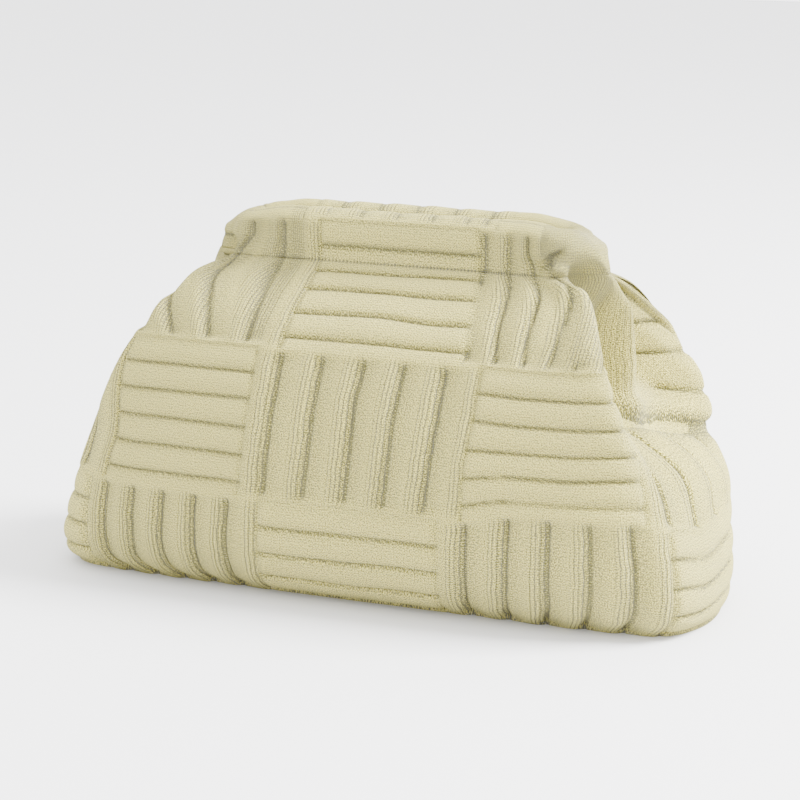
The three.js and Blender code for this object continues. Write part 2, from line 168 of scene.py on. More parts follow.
# Painted shade in the deepest creases: from, to, strength, width (mm)
CREASE_SHADES = (((0.93, 2.77), (1.32, 2.89), 1.4, 1.0),
                ((1.24, 2.70), (1.36, 2.10), 0.6, 0.8),
                ((0.97, 2.76), (1.20, 2.44), 0.9, 1.0))
CREASE_SHADE_ENDS = 0.12
# Right of the pinch the cloth is plain with fine lines; left of the middle stands a lined band
FAN, FAN_UP, FAN_SUNK = (0.97, 1.03, 1.9, 2.0), (2.02, 2.1), 0.8
BAND, BAND_UP = (-0.68, -0.64, -0.54, -0.52), (2.03, 2.08)

# Slumped cloth at the right end: the pattern's row at each height, where it slumps, its crease with
# painted shade along it, and the puffed cheek below
SLUMP = np.array([(0.25, 0.25), (0.93, 1.0), (1.38, 2.0), (1.66, 2.27), (1.90, 2.455), (2.13, 2.636),
                  (2.38, 2.82), (2.73, 2.92), (3.0, 3.0), (4.0, 4.0)])
# Row and depth of the crease, and the strength of the painted shade along it
SLUMP_V, SLUMP_DEPTH, SLUMP_CREASE_SHADE = 1.43, 6.5, 0.5
SLUMPED = (1.60, 1.80, 2.45, 3.6)
CREASED = (1.66, 1.86, 2.45, 2.8)
CREASE_RISE, CREASE_DROP, CREASE_DROPS = 0.15, 0.27, (1.75, 2.5)
CREASE_HALF, TILT_HALF = 0.06, 0.3
CREASE_FADE, CREASE_FADES = 0.6, (2.15, 2.45)
CHEEK, CHEEK_BELOW, CHEEK_HALF = 3.0, 0.33, 0.2
# Beside it the front's level ribs are lifted a little
LIFT, LIFT_V, LIFT_HALF, LIFTED = 0.08, 1.08, 0.3, (0.5, 0.85, 1.4, 1.6)

# Rolls of cloth that hang from the hem's ends: how far each stands out at each height
RIGHT_ROLL = np.array([(1.46, 0), (1.60, 2), (2.2, 1.5), (2.5, 1.5), (2.73, 4), (2.81, 4.5), (2.89, 2.5),
                       (2.97, 0.5), (3.06, 0)])
LEFT_ROLL = np.array([(2.3, 0), (2.5, 1), (2.73, 7), (2.81, 4.5), (2.89, 1.5), (3.0, 0)])
VALLEY_FILL = np.array([(2.35, 0), (2.55, 3), (2.70, 8), (2.75, 8), (2.85, 3), (2.95, 0)])
ROLL_HALF, FILL_FROM_END, FILL_HALF = 0.17, 0.27, 0.14
TABLE_SOFT, TABLE_STEPS, TABLE_REST = 0.09, 9, 0.05
# The right roll hangs down the valley between two furrows, and a ridge stands behind it
HANGS = (1.50, 1.64, 2.35, 2.6)
HANGING_ROLL, HANGING_HALF = 5.5, 0.11
FURROWS, FURROW_HALF = ((1.78, 3.5), (2.2, 4.5)), 0.06
RIDGE, RIDGE_U, RIDGE_HALF, RIDGE_UP = 2.4, 2.36, 0.05, (1.6, 1.75, 2.5, 2.7)
# Both ends' hanging folds are plain knit with fine lines
FOLD_HALF, FOLD_FADE, FOLD_UP = 0.17, 0.07, (1.50, 1.66)
FOLD_SUNK, FOLD_LINED = 0.3, 0.35


def smoothstep(low, high, x):
    t = np.clip((x - low) / (high - low), 0, 1)
    return t * t * (3 - 2 * t)


def within(x, stops):
    """1 between the middle two of four stops, smoothly down to 0 at the outer two."""
    start, full, ease, end = stops
    return smoothstep(start, full, x) * (1 - smoothstep(ease, end, x))


def bell(x, middle, half_width):
    return np.exp(-((x - middle) / half_width) ** 2)


def smooth_noise(u, v, size, seed, cells_u, cells_v):
    """Soft noise from -size to size over the cloth, closed round the bag."""
    rng = np.random.default_rng(seed)
    grid = rng.uniform(-1, 1, (cells_u, cells_v + 3))
    x = (np.asarray(u) / COLUMN_COUNT * cells_u) % cells_u
    y = np.clip(np.asarray(v) / 4 * cells_v, 0, cells_v + 1)
    i, j = np.floor(x).astype(int), np.floor(y).astype(int)
    fx, fy = x - i, y - j
    fx, fy = fx * fx * (3 - 2 * fx), fy * fy * (3 - 2 * fy)
    a, b = grid[i % cells_u, j], grid[(i + 1) % cells_u, j]
    c, d = grid[i % cells_u, j + 1], grid[(i + 1) % cells_u, j + 1]
    return size * ((a * (1 - fx) + b * fx) * (1 - fy) + (c * (1 - fx) + d * fx) * fy)


def section_at(v):
    """Sizes of the outline at v, smooth through the table's rows."""
    keys = SECTIONS[:, 0]
    k = int(np.clip(np.searchsorted(keys, v, side="left") - 1, 0, len(keys) - 2))
    span = keys[k + 1] - keys[k]
    t = (v - keys[k]) / span

    def slope(i):
        a, b = max(i - 1, 0), min(i + 1, len(keys) - 1)
        return (SECTIONS[b] - SECTIONS[a]) / (keys[b] - keys[a])

    rise = SECTIONS[k + 1] - SECTIONS[k]
    start, end = slope(k) * span, slope(k + 1) * span
    values = SECTIONS[k] + t * (start + t * (3 * rise - 2 * start - end + t * (start + end - 2 * rise)))
    return dict(zip(SECTION_COLUMNS, values))


def closed_curve(points, steps=24):
    """Closed centripetal Catmull-Rom curve as a fine polyline."""
    p = np.asarray(points, float)
    p0, p1, p2, p3 = np.roll(p, 1, 0), p, np.roll(p, -1, 0), np.roll(p, -2, 0)
    d0, d1, d2 = (np.linalg.norm(b - a, axis=1)[:, None] ** 0.5
                  for a, b in ((p0, p1), (p1, p2), (p2, p3)))
    m1 = ((p1 - p0) / d0 - (p2 - p0) / (d0 + d1) + (p2 - p1) / d1) * d1
    m2 = ((p2 - p1) / d1 - (p3 - p1) / (d1 + d2) + (p3 - p2) / d2) * d1
    t = (np.arange(steps) / steps)[None, :, None]
    p1, p2, m1, m2 = (x[:, None, :] for x in (p1, p2, m1, m2))
    curve = ((2 * t**3 - 3 * t**2 + 1) * p1 + (t**3 - 2 * t**2 + t) * m1
             + (3 * t**2 - 2 * t**3) * p2 + (t**3 - t**2) * m2)
    return curve.reshape(-1, p.shape[1])


def gathered_share(v):
    """0 where the gathered part of the cloth starts, 1 at the rim."""
    return np.clip((v - GATHER_V) / (RIM_V - GATHER_V), 0, 1)


def cloth_length(u, quarter, v):
    """Cloth from the front centre to column u on an outline whose quarter is given."""

    def to_end(columns, side):
        low, high = (np.array(sizes) for sizes in COLUMN_SPACING[side])
        middle, halfway, edge = low + gathered_share(v) * (high - low)
        rest = quarter - middle
        stops = [0, middle, middle + halfway * rest, middle + edge * rest, quarter]
        return np.interp(columns, [0, 0.5, 1, 1.5, 2], stops)

    back = 2 * quarter + np.sign(u - 4) * to_end(np.abs(4 - u), "back")
    left = 4 * quarter - to_end(8 - u, "left")
    return np.where(u <= 2, to_end(u, "right"), np.where(u >= 6, left, back))


def smooth_row(u, v):
    """Points of the sack's smooth outline at v for columns u, in mm."""
    s = section_at(v)
    quarter = [(0, -s["front"]), (s["shoulder_x"] / 2, -FRONT_CROWN * s["front"]),
               (s["shoulder_x"], -s["shoulder_y"]), (s["tip_x"], -s["tip_y"]),
               (s["valley_x"], -s["valley_y"]), (s["end_x"], 0)]
    right = quarter + [(x, -y) for x, y in quarter[-2::-1]]
    ring = right + [(-x, y) for x, y in right[-2:0:-1]]
    ring[3] = (s["tip_x"] - s["tuck"], -s["tip_y"])
    ring[4] = (s["valley_x"] - s["tuck"] * VALLEY_TUCK, -s["valley_y"])
    curve = closed_curve(ring)
    closed = np.vstack([curve, curve[:1]])
    length = np.concatenate([[0], np.cumsum(np.linalg.norm(np.diff(closed, axis=0), axis=1))])
    along = cloth_length(np.mod(u, COLUMN_COUNT), length[-1] / 4, v)
    x = np.interp(along, length, closed[:, 0])
    y = np.interp(along, length, closed[:, 1])
    z = np.full_like(x, s["z"])
    return np.stack([x + LEAN_PER_MM * (z - LEAN_LEVEL), y, z], -1)


def from_front(u):
    """Columns from the front centre, to the right or (less than 0) to the left."""
    return np.mod(u + COLUMN_COUNT / 2, COLUMN_COUNT) - COLUMN_COUNT / 2


def upright_profile(t):
    """Height across one upright rib, from its groove's dark line (0) to the next one (1)."""
    climb = STEP_SHARE * smoothstep(0, STEP_END, t)
    climb = climb + (1 - STEP_SHARE) * smoothstep(CLIMB_START, CLIMB_END, t)
    return climb * (1 - smoothstep(*FALL, t))


def level_profile(t):
    """Height across one level rib, groove to groove."""
    edge = smoothstep(0, LEVEL_EDGE, np.minimum(t, 1 - t))
    return LEVEL_EDGE_SHARE * edge + (1 - LEVEL_EDGE_SHARE) * 4 * t * (1 - t)


def crease_row(u):
    """Row of the crease under the slumped cloth: it falls from the end's middle to the back."""
    return SLUMP_V + CREASE_RISE - CREASE_DROP * smoothstep(*CREASE_DROPS, u)


def gathered_row(u, v):
    """Row of the pattern at a point: at the right end the cloth slumps, so its rows lie lower."""
    u = np.mod(u, COLUMN_COUNT)
    tilt = (crease_row(u) - SLUMP_V) * bell(v, SLUMP_V, TILT_HALF)
    slumped = np.interp(v - tilt, SLUMP[:, 0], SLUMP[:, 1])
    lifted = LIFT * bell(v, LIFT_V, LIFT_HALF) * within(u, LIFTED)
    return v - lifted + (slumped - v) * within(u, SLUMPED)


def rib_place(u, beside, v):
    """Place of a point among its column's upright ribs: near the hem they are gathered unevenly."""
    rim = gathered_share(v)
    side = from_front(u)
    bow = np.sin(math.pi * rim)
    gathered = beside
    for low, high, start, bow_aside, close, looser, taken in GATHERS:
        place = (side - start + bow_aside * bow) * (close - looser * rim) - taken
        gathered = np.where((side > low) & (side < high), place, gathered)
    return np.where(v > GATHER_V, gathered, beside)


def along_line(side, v, start, end, width, fade):
    """1 along a line across the cloth, fading out beside it (width in mm) and at its ends."""
    (u0, v0), (u1, v1) = start, end
    x, y = (side - u0) * GATHERED_MM, (v - v0) * ROW_MM
    dx, dy = (u1 - u0) * GATHERED_MM, (v1 - v0) * ROW_MM
    length = math.hypot(dx, dy)
    along = (x * dx + y * dy) / length
    away = (x * dy - y * dx) / length
    soft = fade * length
    return within(along, (-soft, soft, length - soft, length + soft)) * bell(away, 0, width)


def folds(u, v):
    """Folds of the gathered cloth at the front right of the hem: how far they stand out (mm)."""
    side = from_front(u)
    total = 0
    for (u0, v0), (half_u, half_v), out in PUFFS:
        total = total + out * bell(side, u0, half_u) * bell(v, v0, half_v)
    for start, end, out, width, fade in FOLDS:
        total = total + out * along_line(side, v, start, end, width, fade)
    return total


def soft_table(v, table):
    """A table's value at v, with its corners rounded."""
    steps = np.linspace(-TABLE_SOFT, TABLE_SOFT, TABLE_STEPS)
    weights = np.cos(steps / TABLE_SOFT * math.pi / 2) ** 2 + TABLE_REST
    values = sum(w * np.interp(v + s, table[:, 0], table[:, 1]) for s, w in zip(steps, weights))
    return values / weights.sum()


def end_rolls(u, v):
    """How far the cloth stands out over the hem's right and left ends (mm)."""
    u = np.mod(u, COLUMN_COUNT)
    fill = soft_table(v, VALLEY_FILL)

    def around(from_end, table):
        middle = soft_table(v, table) * bell(from_end, 0, ROLL_HALF)
        return middle + fill * bell(np.abs(from_end), FILL_FROM_END, FILL_HALF)

    ridge = RIDGE * bell(u, RIDGE_U, RIDGE_HALF) * within(v, RIDGE_UP)
    roll = HANGING_ROLL * np.exp(-((u - 2) / HANGING_HALF) ** 4)
    for furrow_u, deep in FURROWS:
        roll = roll - deep * bell(u, furrow_u, FURROW_HALF)
    return around(u - 2, RIGHT_ROLL) + ridge + within(v, HANGS) * roll, around(u - 6, LEFT_ROLL)


def basket(u, v):
    """The basket pattern: depth under the highest ribs (mm, 0 or less), lined bands, painted shadow lines
    in the grooves.
    """
    pattern_v = gathered_row(u, v)
    row = np.floor(pattern_v + 1e-9)
    column = np.floor(u + 0.5)
    beside = u - column
    # Upright blocks reach a little into the level blocks beside them
    own = np.mod(column + row, 2) == 1
    upright = own | (beside > 1 - UPRIGHT_LEFT) | (beside < UPRIGHT_RIGHT - 1)
    in_row = pattern_v - row
    end_mm = np.minimum(in_row, 1 - in_row) * ROW_MM
    side_mm = np.minimum(1 - UPRIGHT_LEFT - beside, beside - UPRIGHT_RIGHT + 1) * COLUMN_MM
    top_edge = np.where(row < GATHER_V, smoothstep(0, TOP_EDGE_MM, (1 - in_row) * ROW_MM), 1)

    t_up = np.mod(rib_place(u, beside, v) * UPRIGHT_RIBS, 1)
    up_deep = UPRIGHT_DEPTH * (upright_profile(t_up) - 1) * smoothstep(*UPRIGHT_ENDS, end_mm)
    t_level = np.mod(in_row * LEVEL_RIBS - 0.5, 1)
    height = level_profile(t_level)
    height = height * (LEVEL_END_REST + (1 - LEVEL_END_REST) * smoothstep(*LEVEL_ENDS, side_mm))
    top_share = TOP_EDGE_REST + (1 - TOP_EDGE_REST) * top_edge
    crease = bell(v, HEM_CREASE_V, HEM_CREASE_HALF) * smoothstep(0, HEM_CREASE_ENDS, side_mm)
    level_deep = LEVEL_DEPTH * (1 + HEM_CREASE * crease) * (height - 1) * top_share
    deep = np.where(upright, up_deep, level_deep)

    lined = np.where(upright, smoothstep(*LINED, t_up) * smoothstep(*LINED_ENDS, end_mm), 0)
    # Painted shadow along each groove, partly also the row of holes where the knit turns; weaker in level
    # grooves and at a block's soft top edge
    to_groove = np.abs(np.mod(t_up + 0.5 + GROOVE_SHIFT, 1) - 0.5)
    up_shade = bell(to_groove, 0, GROOVE_SHADE_WIDTH) * smoothstep(*GROOVE_ENDS, end_mm)
    level_shade = bell(np.minimum(t_level, 1 - t_level), 0, LEVEL_SHADE_WIDTH)
    level_shade = level_shade * smoothstep(*LEVEL_SHADE_ENDS, side_mm)
    level_shade = level_shade * (TOP_EDGE_SHADE + (1 - TOP_EDGE_SHADE) * top_edge)
    return deep, lined, np.where(upright, up_shade, LEVEL_SHADE * level_shade)


def relief(u, v):
    """Depth of the whole cloth's relief (mm), and masks for the knit's colour, among them painted shade in
    its hollows and grooves.
    """
    deep, lined, line = basket(u, v)
    side = from_front(u)
    around = np.mod(u, COLUMN_COUNT)
    fan = within(side, FAN) * smoothstep(*FAN_UP, v)
    deep = deep * (1 - fan) - FAN_SUNK * fan
    lined = lined * (1 - fan) + fan
    line = line * (1 - fan)
    # Painted shade along the deepest creases
    for start, end, strength, width in CREASE_SHADES:
        line = line + strength * along_line(side, v, start, end, width, CREASE_SHADE_ENDS)
    lined = np.maximum(lined, within(side, BAND) * smoothstep(*BAND_UP, v))

    from_end = np.abs(np.mod(u, 4) - 2)
    fold = (1 - smoothstep(FOLD_HALF, FOLD_HALF + FOLD_FADE, from_end)) * smoothstep(*FOLD_UP, v)
    deep = deep * (1 - fold) - FOLD_SUNK * fold
    lined = lined * (1 - fold) + FOLD_LINED * fold
    line = line * (1 - fold)

    right = within(around, CREASED)
    from_crease = v - crease_row(around)
    crease = bell(from_crease, 0, CREASE_HALF) * right
    crease = crease * (1 - CREASE_FADE * smoothstep(*CREASE_FADES, around))
    deep = deep - SLUMP_DEPTH * crease + CHEEK * right * bell(from_crease, -CHEEK_BELOW, CHEEK_HALF)
    # Painted shade along the crease
    line = line + SLUMP_CREASE_SHADE * crease

    seam = np.clip(1 - np.abs(v - RIM_V) * ROW_MM / SEAM_HALF_MM, 0, 1)
    seam = seam * (1 - smoothstep(*SEAM_FADE, np.abs(side)))
    # The sunk mask is how deep the relief lies; the knit's colour darkens with it as painted shade
    masks = {"lined": lined, "line": line, "seam": seam,
             "sunk": np.clip(-deep / UPRIGHT_DEPTH, 0, MOST_SUNK)}
    return deep * (1 + smooth_noise(u, v, *SWELL)), masks


def ring_normals(points):
    """Unit normals of a grid (rows v, closed columns u) of points, pointing out of the bag."""
    across = np.roll(points, -1, 1) - np.roll(points, 1, 1)
    normals = np.cross(across, np.gradient(points, axis=0))
    return normals / np.maximum(np.linalg.norm(normals, axis=-1, keepdims=True), 1e-9)


def grid_quads(index, flip=False):
    """Quads between the points of a grid of indices."""
    a, b, c, d = index[:-1, :-1], index[:-1, 1:], index[1:, 1:], index[1:, :-1]
    order = [a, d, c, b] if flip else [a, b, c, d]
    return np.stack(order, -1).reshape(-1, 4)


def ring_index(first, rows, columns):
    """Indices of a grid that is closed round the bag: its first column comes again at the end."""
    index = first + np.arange(rows * columns).reshape(rows, columns)
    return np.hstack([index, index[:, :1]])


def mesh_object(name, points, quads, cloth, masks):
    """Mesh object from points in mm, with the cloth's own coordinates and masks per point."""
    mesh = bpy.data.meshes.new(name)
    mesh.vertices.add(len(points))
    mesh.vertices.foreach_set("co", (points * MM).astype(np.float32).ravel())
    mesh.loops.add(quads.size)
    mesh.loops.foreach_set("vertex_index", quads.astype(np.int32).ravel())
    mesh.polygons.add(len(quads))
    mesh.polygons.foreach_set("loop_start", np.arange(len(quads), dtype=np.int32) * 4)
    mesh.polygons.foreach_set("use_smooth", np.ones(len(quads), bool))
    mesh.update(calc_edges=True)
    layer = mesh.uv_layers.new(name="cloth")
    # A quad across the front centre's seam gets its low coordinates one turn further on
    turn = COLUMN_COUNT * COLUMN_MM
    corner_uv = cloth[quads].reshape(-1, 4, 2).copy()
    seam = corner_uv[..., 0].max(1) - corner_uv[..., 0].min(1) > turn / 2
    wrapped = corner_uv[seam]
    wrapped[..., 0] += np.where(wrapped[..., 0] < turn / 2, turn, 0)
    corner_uv[seam] = wrapped
    layer.data.foreach_set("uv", corner_uv.astype(np.float32).ravel())
    for label, values in masks.items():
        attribute = mesh.attributes.new(label, "FLOAT", "POINT")
        attribute.data.foreach_set("value", values.astype(np.float32).ravel())
    obj = bpy.data.objects.new(name, mesh)
    bpy.context.scene.collection.objects.link(obj)
    return obj


def cloth_coordinates(u, v):
    return np.stack([u * COLUMN_MM, v * ROW_MM], -1)


def dense_samples(low, high, count, crowding):
    """Numbers from low to high, closer together where the crowding function is larger."""
    fine = np.linspace(low, high, 20001)
    weight = np.cumsum(crowding(fine))
    weight = (weight - weight[0]) / (weight[-1] - weight[0])
    return np.interp(np.linspace(0, 1, count), weight, fine)


def crowd_columns(u):
    """More columns of points at the upright grooves and in the end folds."""
    t = np.mod(u * UPRIGHT_RIBS, 1)
    grooves = COLUMN_CROWD * bell(np.minimum(t, 1 - t), 0, GROOVE_NEAR)
    return 1 + grooves + FOLD_CROWD * bell(np.mod(u, 4), 2, FOLD_NEAR)


def crowd_rows(v):
    """More rows of points at the level grooves and at the blocks' edges."""
    in_row = np.mod(v, 1)
    t = np.mod(in_row * LEVEL_RIBS - 0.5, 1)
    edge = np.minimum(in_row, 1 - in_row)
    grooves = ROW_CROWD * bell(np.minimum(t, 1 - t), 0, GROOVE_NEAR)
    return 1 + grooves + EDGE_CROWD * bell(edge, 0, EDGE_NEAR)


def hem_path():
    """The hem's section from its front foot round to its hidden side: points and length along it."""
    half, foot, top = HEM_SIZE[0] / 2, -HEM_SIZE[1] / 2, HEM_SIZE[1] / 2

    def arc(x, y, r, start):
        angles = np.radians(np.linspace(start, start + 90, ARC_STEPS))
        return [(x + r * math.cos(a), y + r * math.sin(a)) for a in angles]

    points = [(half, foot)] + arc(half - HEM_ROUND, top - HEM_ROUND, HEM_ROUND, 0)
    points += arc(HEM_ROUND - half, top - HEM_ROUND, HEM_ROUND, 90)
    points += arc(HEM_LOW_ROUND - half, foot + HEM_LOW_ROUND, HEM_LOW_ROUND, 180)
    points = np.array(points + [(half - HEM_SLIT, foot)])
    along = np.concatenate([[0], np.cumsum(np.linalg.norm(np.diff(points, axis=0), axis=1))])
    return points, along


HEM_PATH, HEM_ALONG = hem_path()


def hem_route(u):
    """The hem's centre line at columns u: point, outward direction, turn (0 straight, 1 at the end)."""
    radius = MOUTH_HALF + HEM_SIZE[0] / 2
    quarter = HEM_HALF_LENGTH + math.pi * radius / 2
    ring = smooth_row(np.linspace(0, COLUMN_COUNT, 400), RIM_V)
    rim_quarter = np.linalg.norm(np.diff(ring, axis=0), axis=1).sum() / 4
    along = cloth_length(np.mod(u, COLUMN_COUNT), rim_quarter, RIM_V)
    is_back = (along > rim_quarter) & (along < 3 * rim_quarter)
    is_left = along > 2 * rim_quarter
    from_middle = np.where(is_left, 4 * rim_quarter - along, along)
    from_middle = np.where(is_back, 2 * rim_quarter - from_middle, from_middle)
    # Over the level part the cloth runs straight up; the rest is shared out along the end
    offset = LEAN_PER_MM * (SECTIONS[-1, 1] - LEAN_LEVEL) - HEM_CENTRE[0]
    shift = np.where(is_left, -offset, offset)
    straight = from_middle + shift
    share = (quarter - HEM_LEVEL_HALF) / (rim_quarter + shift - HEM_LEVEL_HALF)
    rest = HEM_LEVEL_HALF + (straight - HEM_LEVEL_HALF) * share
    reach = np.where(straight < HEM_LEVEL_HALF, straight, rest)
    angle = np.clip((reach - HEM_HALF_LENGTH) / radius, 0, math.pi / 2)
    way_x, way_y = np.sin(angle), -np.cos(angle)
    side, face = np.where(is_left, -1, 1), np.where(is_back, -1, 1)
    level = np.zeros_like(angle)
    x = np.minimum(reach, HEM_HALF_LENGTH) + radius * way_x
    centre = np.stack([side * x, face * radius * way_y, level], -1) + np.array(HEM_CENTRE)
    return centre, np.stack([side * way_x, face * way_y, level], -1), way_x


def hem_rows(u, heights):
    """Rows of the hem's smooth surface, at each height along its section from the foot (mm)."""
    centre, outward, turned = hem_route(u)
    across = np.abs(centre[:, 0] - HEM_CENTRE[0])
    fall = 1 - HEM_END_FALL * smoothstep(HEM_LEVEL_HALF, HEM_HALF_LENGTH + HEM_SIZE[0], across)
    foot = centre + outward * HEM_SIZE[0] / 2
    foot[:, 2] = HEM_CENTRE[2] - HEM_SIZE[1] / 2
    to_rim = smooth_row(u, RIM_V) - foot
    rows = []
    for height in heights:
        out = np.interp(height, HEM_ALONG, HEM_PATH[:, 0])
        up = np.interp(height, HEM_ALONG, HEM_PATH[:, 1])
        taper = HEM_END_TAPER * turned * max(up, 0) * (out / HEM_SIZE[0] + 0.5)
        point = centre + outward * (out - taper)[:, None]
        point[:, 2] += up * fall if up > 0 else up
        if height < HEM_SIZE[1]:
            mix = 1 - float(smoothstep(*FOOT_LEAVES, height))
        elif up < FOOT_TOP and out > FOOT_INNER:
            mix = min((out - FOOT_INNER) / FOOT_WIDTH, 1)
        else:
            mix = 0
        rows.append(point + mix * to_rim)
    return np.stack(rows)


def wandering(u, v):
    """How far the knitted pattern strays from its straight columns and rows."""
    wander_u = sum(smooth_noise(u, v, *stray) for stray in STRAYS_U)
    wander_v = sum(smooth_noise(u, v, *stray) for stray in STRAYS_V)
    calm = smoothstep(0, CALM_LOW, v - BOTTOM_V) * smoothstep(0, CALM_RIM, RIM_V - v)
    return wander_u * (CALM_REST + (1 - CALM_REST) * calm), wander_v * calm


def sack_rows(u, v):
    """The sack's smooth surface with the pattern's wandering, and the wandering at the rim."""
    uu, vv = np.meshgrid(u, v)
    wander_u, wander_v = wandering(uu, vv)
    smooth = np.stack([smooth_row(u - wander_u[i], height) for i, height in enumerate(v)])
    place = np.interp(vv - wander_v, v, np.arange(len(v)))
    low = np.clip(np.floor(place).astype(int), 0, len(v) - 2)
    part = (place - low)[..., None]
    j = np.arange(len(u))[None]
    return smooth[low, j] * (1 - part) + smooth[low + 1, j] * part, wander_u[-1]


def build_cloth():
    """Grid of the whole ribbed cloth, from the sole up over the hem, with its masks."""
    columns, rows = SACK_STEPS
    u = dense_samples(0, COLUMN_COUNT, columns + 1, crowd_columns)[:-1]
    v = dense_samples(BOTTOM_V, RIM_V, rows, crowd_rows)
    sack_points, rim_wander = sack_rows(u, v)
    heights = np.concatenate([np.linspace(PIECE_GAP, HEM_VISIBLE, HEM_STEPS),
                              np.linspace(HEM_VISIBLE, HEM_ALONG[-1], HEM_HIDDEN_STEPS + 1)[1:]])
    smooth = np.concatenate([sack_points, hem_rows(u - rim_wander, heights)])
    uu, vv = np.meshgrid(u, np.concatenate([v, RIM_V + heights / ROW_MM]))
    deep, masks = relief(uu, vv)
    turned = hem_route(u)[2][None]
    over = (vv - RIM_V) * ROW_MM

    strength = 1 - (1 - HEM_TOP_RELIEF) * smoothstep(*HEM_TOP, over)
    strength = strength * (1 - HEM_END_CALM * turned * smoothstep(0, HEM_END_CALM_MM, over))
    lumps = smooth_noise(uu, vv, *LUMPS) * smoothstep(0, LUMPS_START, vv - BOTTOM_V)
    lumps = lumps * (1 - (1 - LUMPS_ON_HEM) * smoothstep(0, LUMPS_FADE, over))
    depth = deep * strength + lumps + folds(uu, vv)
    depth = np.where(over > 0, np.maximum(depth, -DEEPEST_ON_HEM), depth)
    depth = depth * (1 - RIM_CALM * bell(over, 0, RIM_CALM_MM))
    last = HEM_SHOWN_TO - HEM_END_SHORTER * turned
    depth = depth * (1 - smoothstep(last, last + HEM_FADE, over))
    push = ring_normals(smooth) * depth[..., None]
    push[..., 2] *= 1 - bell(over, 0, RIM_LEVEL_MM)
    right, left = end_rolls(uu, vv)
    push[..., 0] += right - left
    push[0, :, 2] = 0
    points = smooth + push
    points[..., 2] = np.maximum(points[..., 2], 0)
    return u, v, uu, vv, points, masks


def build_sack(u, v, uu, vv, cloth_points, cloth_masks):
    """The sack: ribbed outside, smooth lining inside, flat sole."""
    columns, rows = len(u), len(v)
    outer = cloth_points[:rows]
    lining_v = np.linspace(BOTTOM_V, RIM_V, LINING_ROWS)
    lining_smooth = np.stack([smooth_row(u, height) for height in lining_v])
    inward = -ring_normals(lining_smooth)
    # The lining's lowest and highest rows go straight in, without rising or falling
    for k in (0, -1):
        inward[k, :, 2] = 0
        inward[k] /= np.linalg.norm(inward[k], axis=-1, keepdims=True)
    lining = lining_smooth + CLOTH * inward
    lining[0, :, 2] = FLOOR
    lining_u, lining_vv = np.meshgrid(u, lining_v)
    parts = [outer, lining]
    outer_index = ring_index(0, rows, columns)
    lining_index = ring_index(rows * columns, LINING_ROWS, columns)
    quads = [grid_quads(outer_index), grid_quads(lining_index, flip=True),
             grid_quads(np.vstack([outer_index[-1], lining_index[-1]]))]
    clothes = [cloth_coordinates(uu[:rows], vv[:rows]), cloth_coordinates(lining_u, lining_vv)]
    masks = {label: [values[:rows], np.zeros_like(lining_u)] for label, values in cloth_masks.items()}
    count = (rows + LINING_ROWS) * columns
    for edge, edge_index, faces_down in ((outer[0], outer_index[0], True),
                                         (lining[0], lining_index[0], False)):
        middle = edge * np.array([1, 0, 1])
        middle[:, 0] = np.clip(middle[:, 0], -SOLE_MIDDLE, SOLE_MIDDLE)
        rings = middle + (edge - middle) * np.array(SOLE_RINGS)[:, None, None]
        parts.append(rings)
        sole_index = ring_index(count, len(SOLE_RINGS), columns)
        quads.append(grid_quads(np.vstack([edge_index, sole_index]), flip=faces_down))
        clothes.append(np.stack([rings[..., 0] + SOLE_SHIFT, rings[..., 1]], -1))
        for values in masks.values():
            values.append(np.zeros(rings.shape[:2]))
        # The last ring closes along its middle, front to back
        k, end = np.arange(columns // 2 - 1), columns // 4
        across = np.stack([end + k, end + k + 1, end - 2 - k, end - 1 - k], -1) % columns
        across = sole_index[-1][across]
        quads.append(across[:, ::-1] if faces_down else across)
        count += rings.shape[0] * columns
    points = np.concatenate([p.reshape(-1, 3) for p in parts])
    cloth = np.concatenate([c.reshape(-1, 2) for c in clothes])
    flat = {label: np.concatenate([m.ravel() for m in values]) for label, values in masks.items()}
    return mesh_object("knit_sack", points, np.concatenate(quads), cloth, flat)


def build_hem(name, first_u, last_u, u, v, uu, vv, cloth_points, cloth_masks):
    """A stretch of the hem between two columns: its section closes on itself."""
    start = int(np.argmin(np.abs(u - np.mod(first_u, COLUMN_COUNT))))
    end = int(np.argmin(np.abs(u - np.mod(last_u, COLUMN_COUNT))))
    end = end if end > start else end + len(u)
    take = np.mod(np.arange(start, end + 1), len(u))

    def stretch(grid):
        return grid[len(v):][:, take]

    points = stretch(cloth_points)
    index = np.arange(points.shape[0] * len(take)).reshape(-1, len(take))
    quads = grid_quads(np.vstack([index, index[:1]]))
    cloth = stretch(cloth_coordinates(uu, vv))
    masks = {label: stretch(values).ravel() for label, values in cloth_masks.items()}
    return mesh_object(name, points.reshape(-1, 3), quads, cloth.reshape(-1, 2), masks)


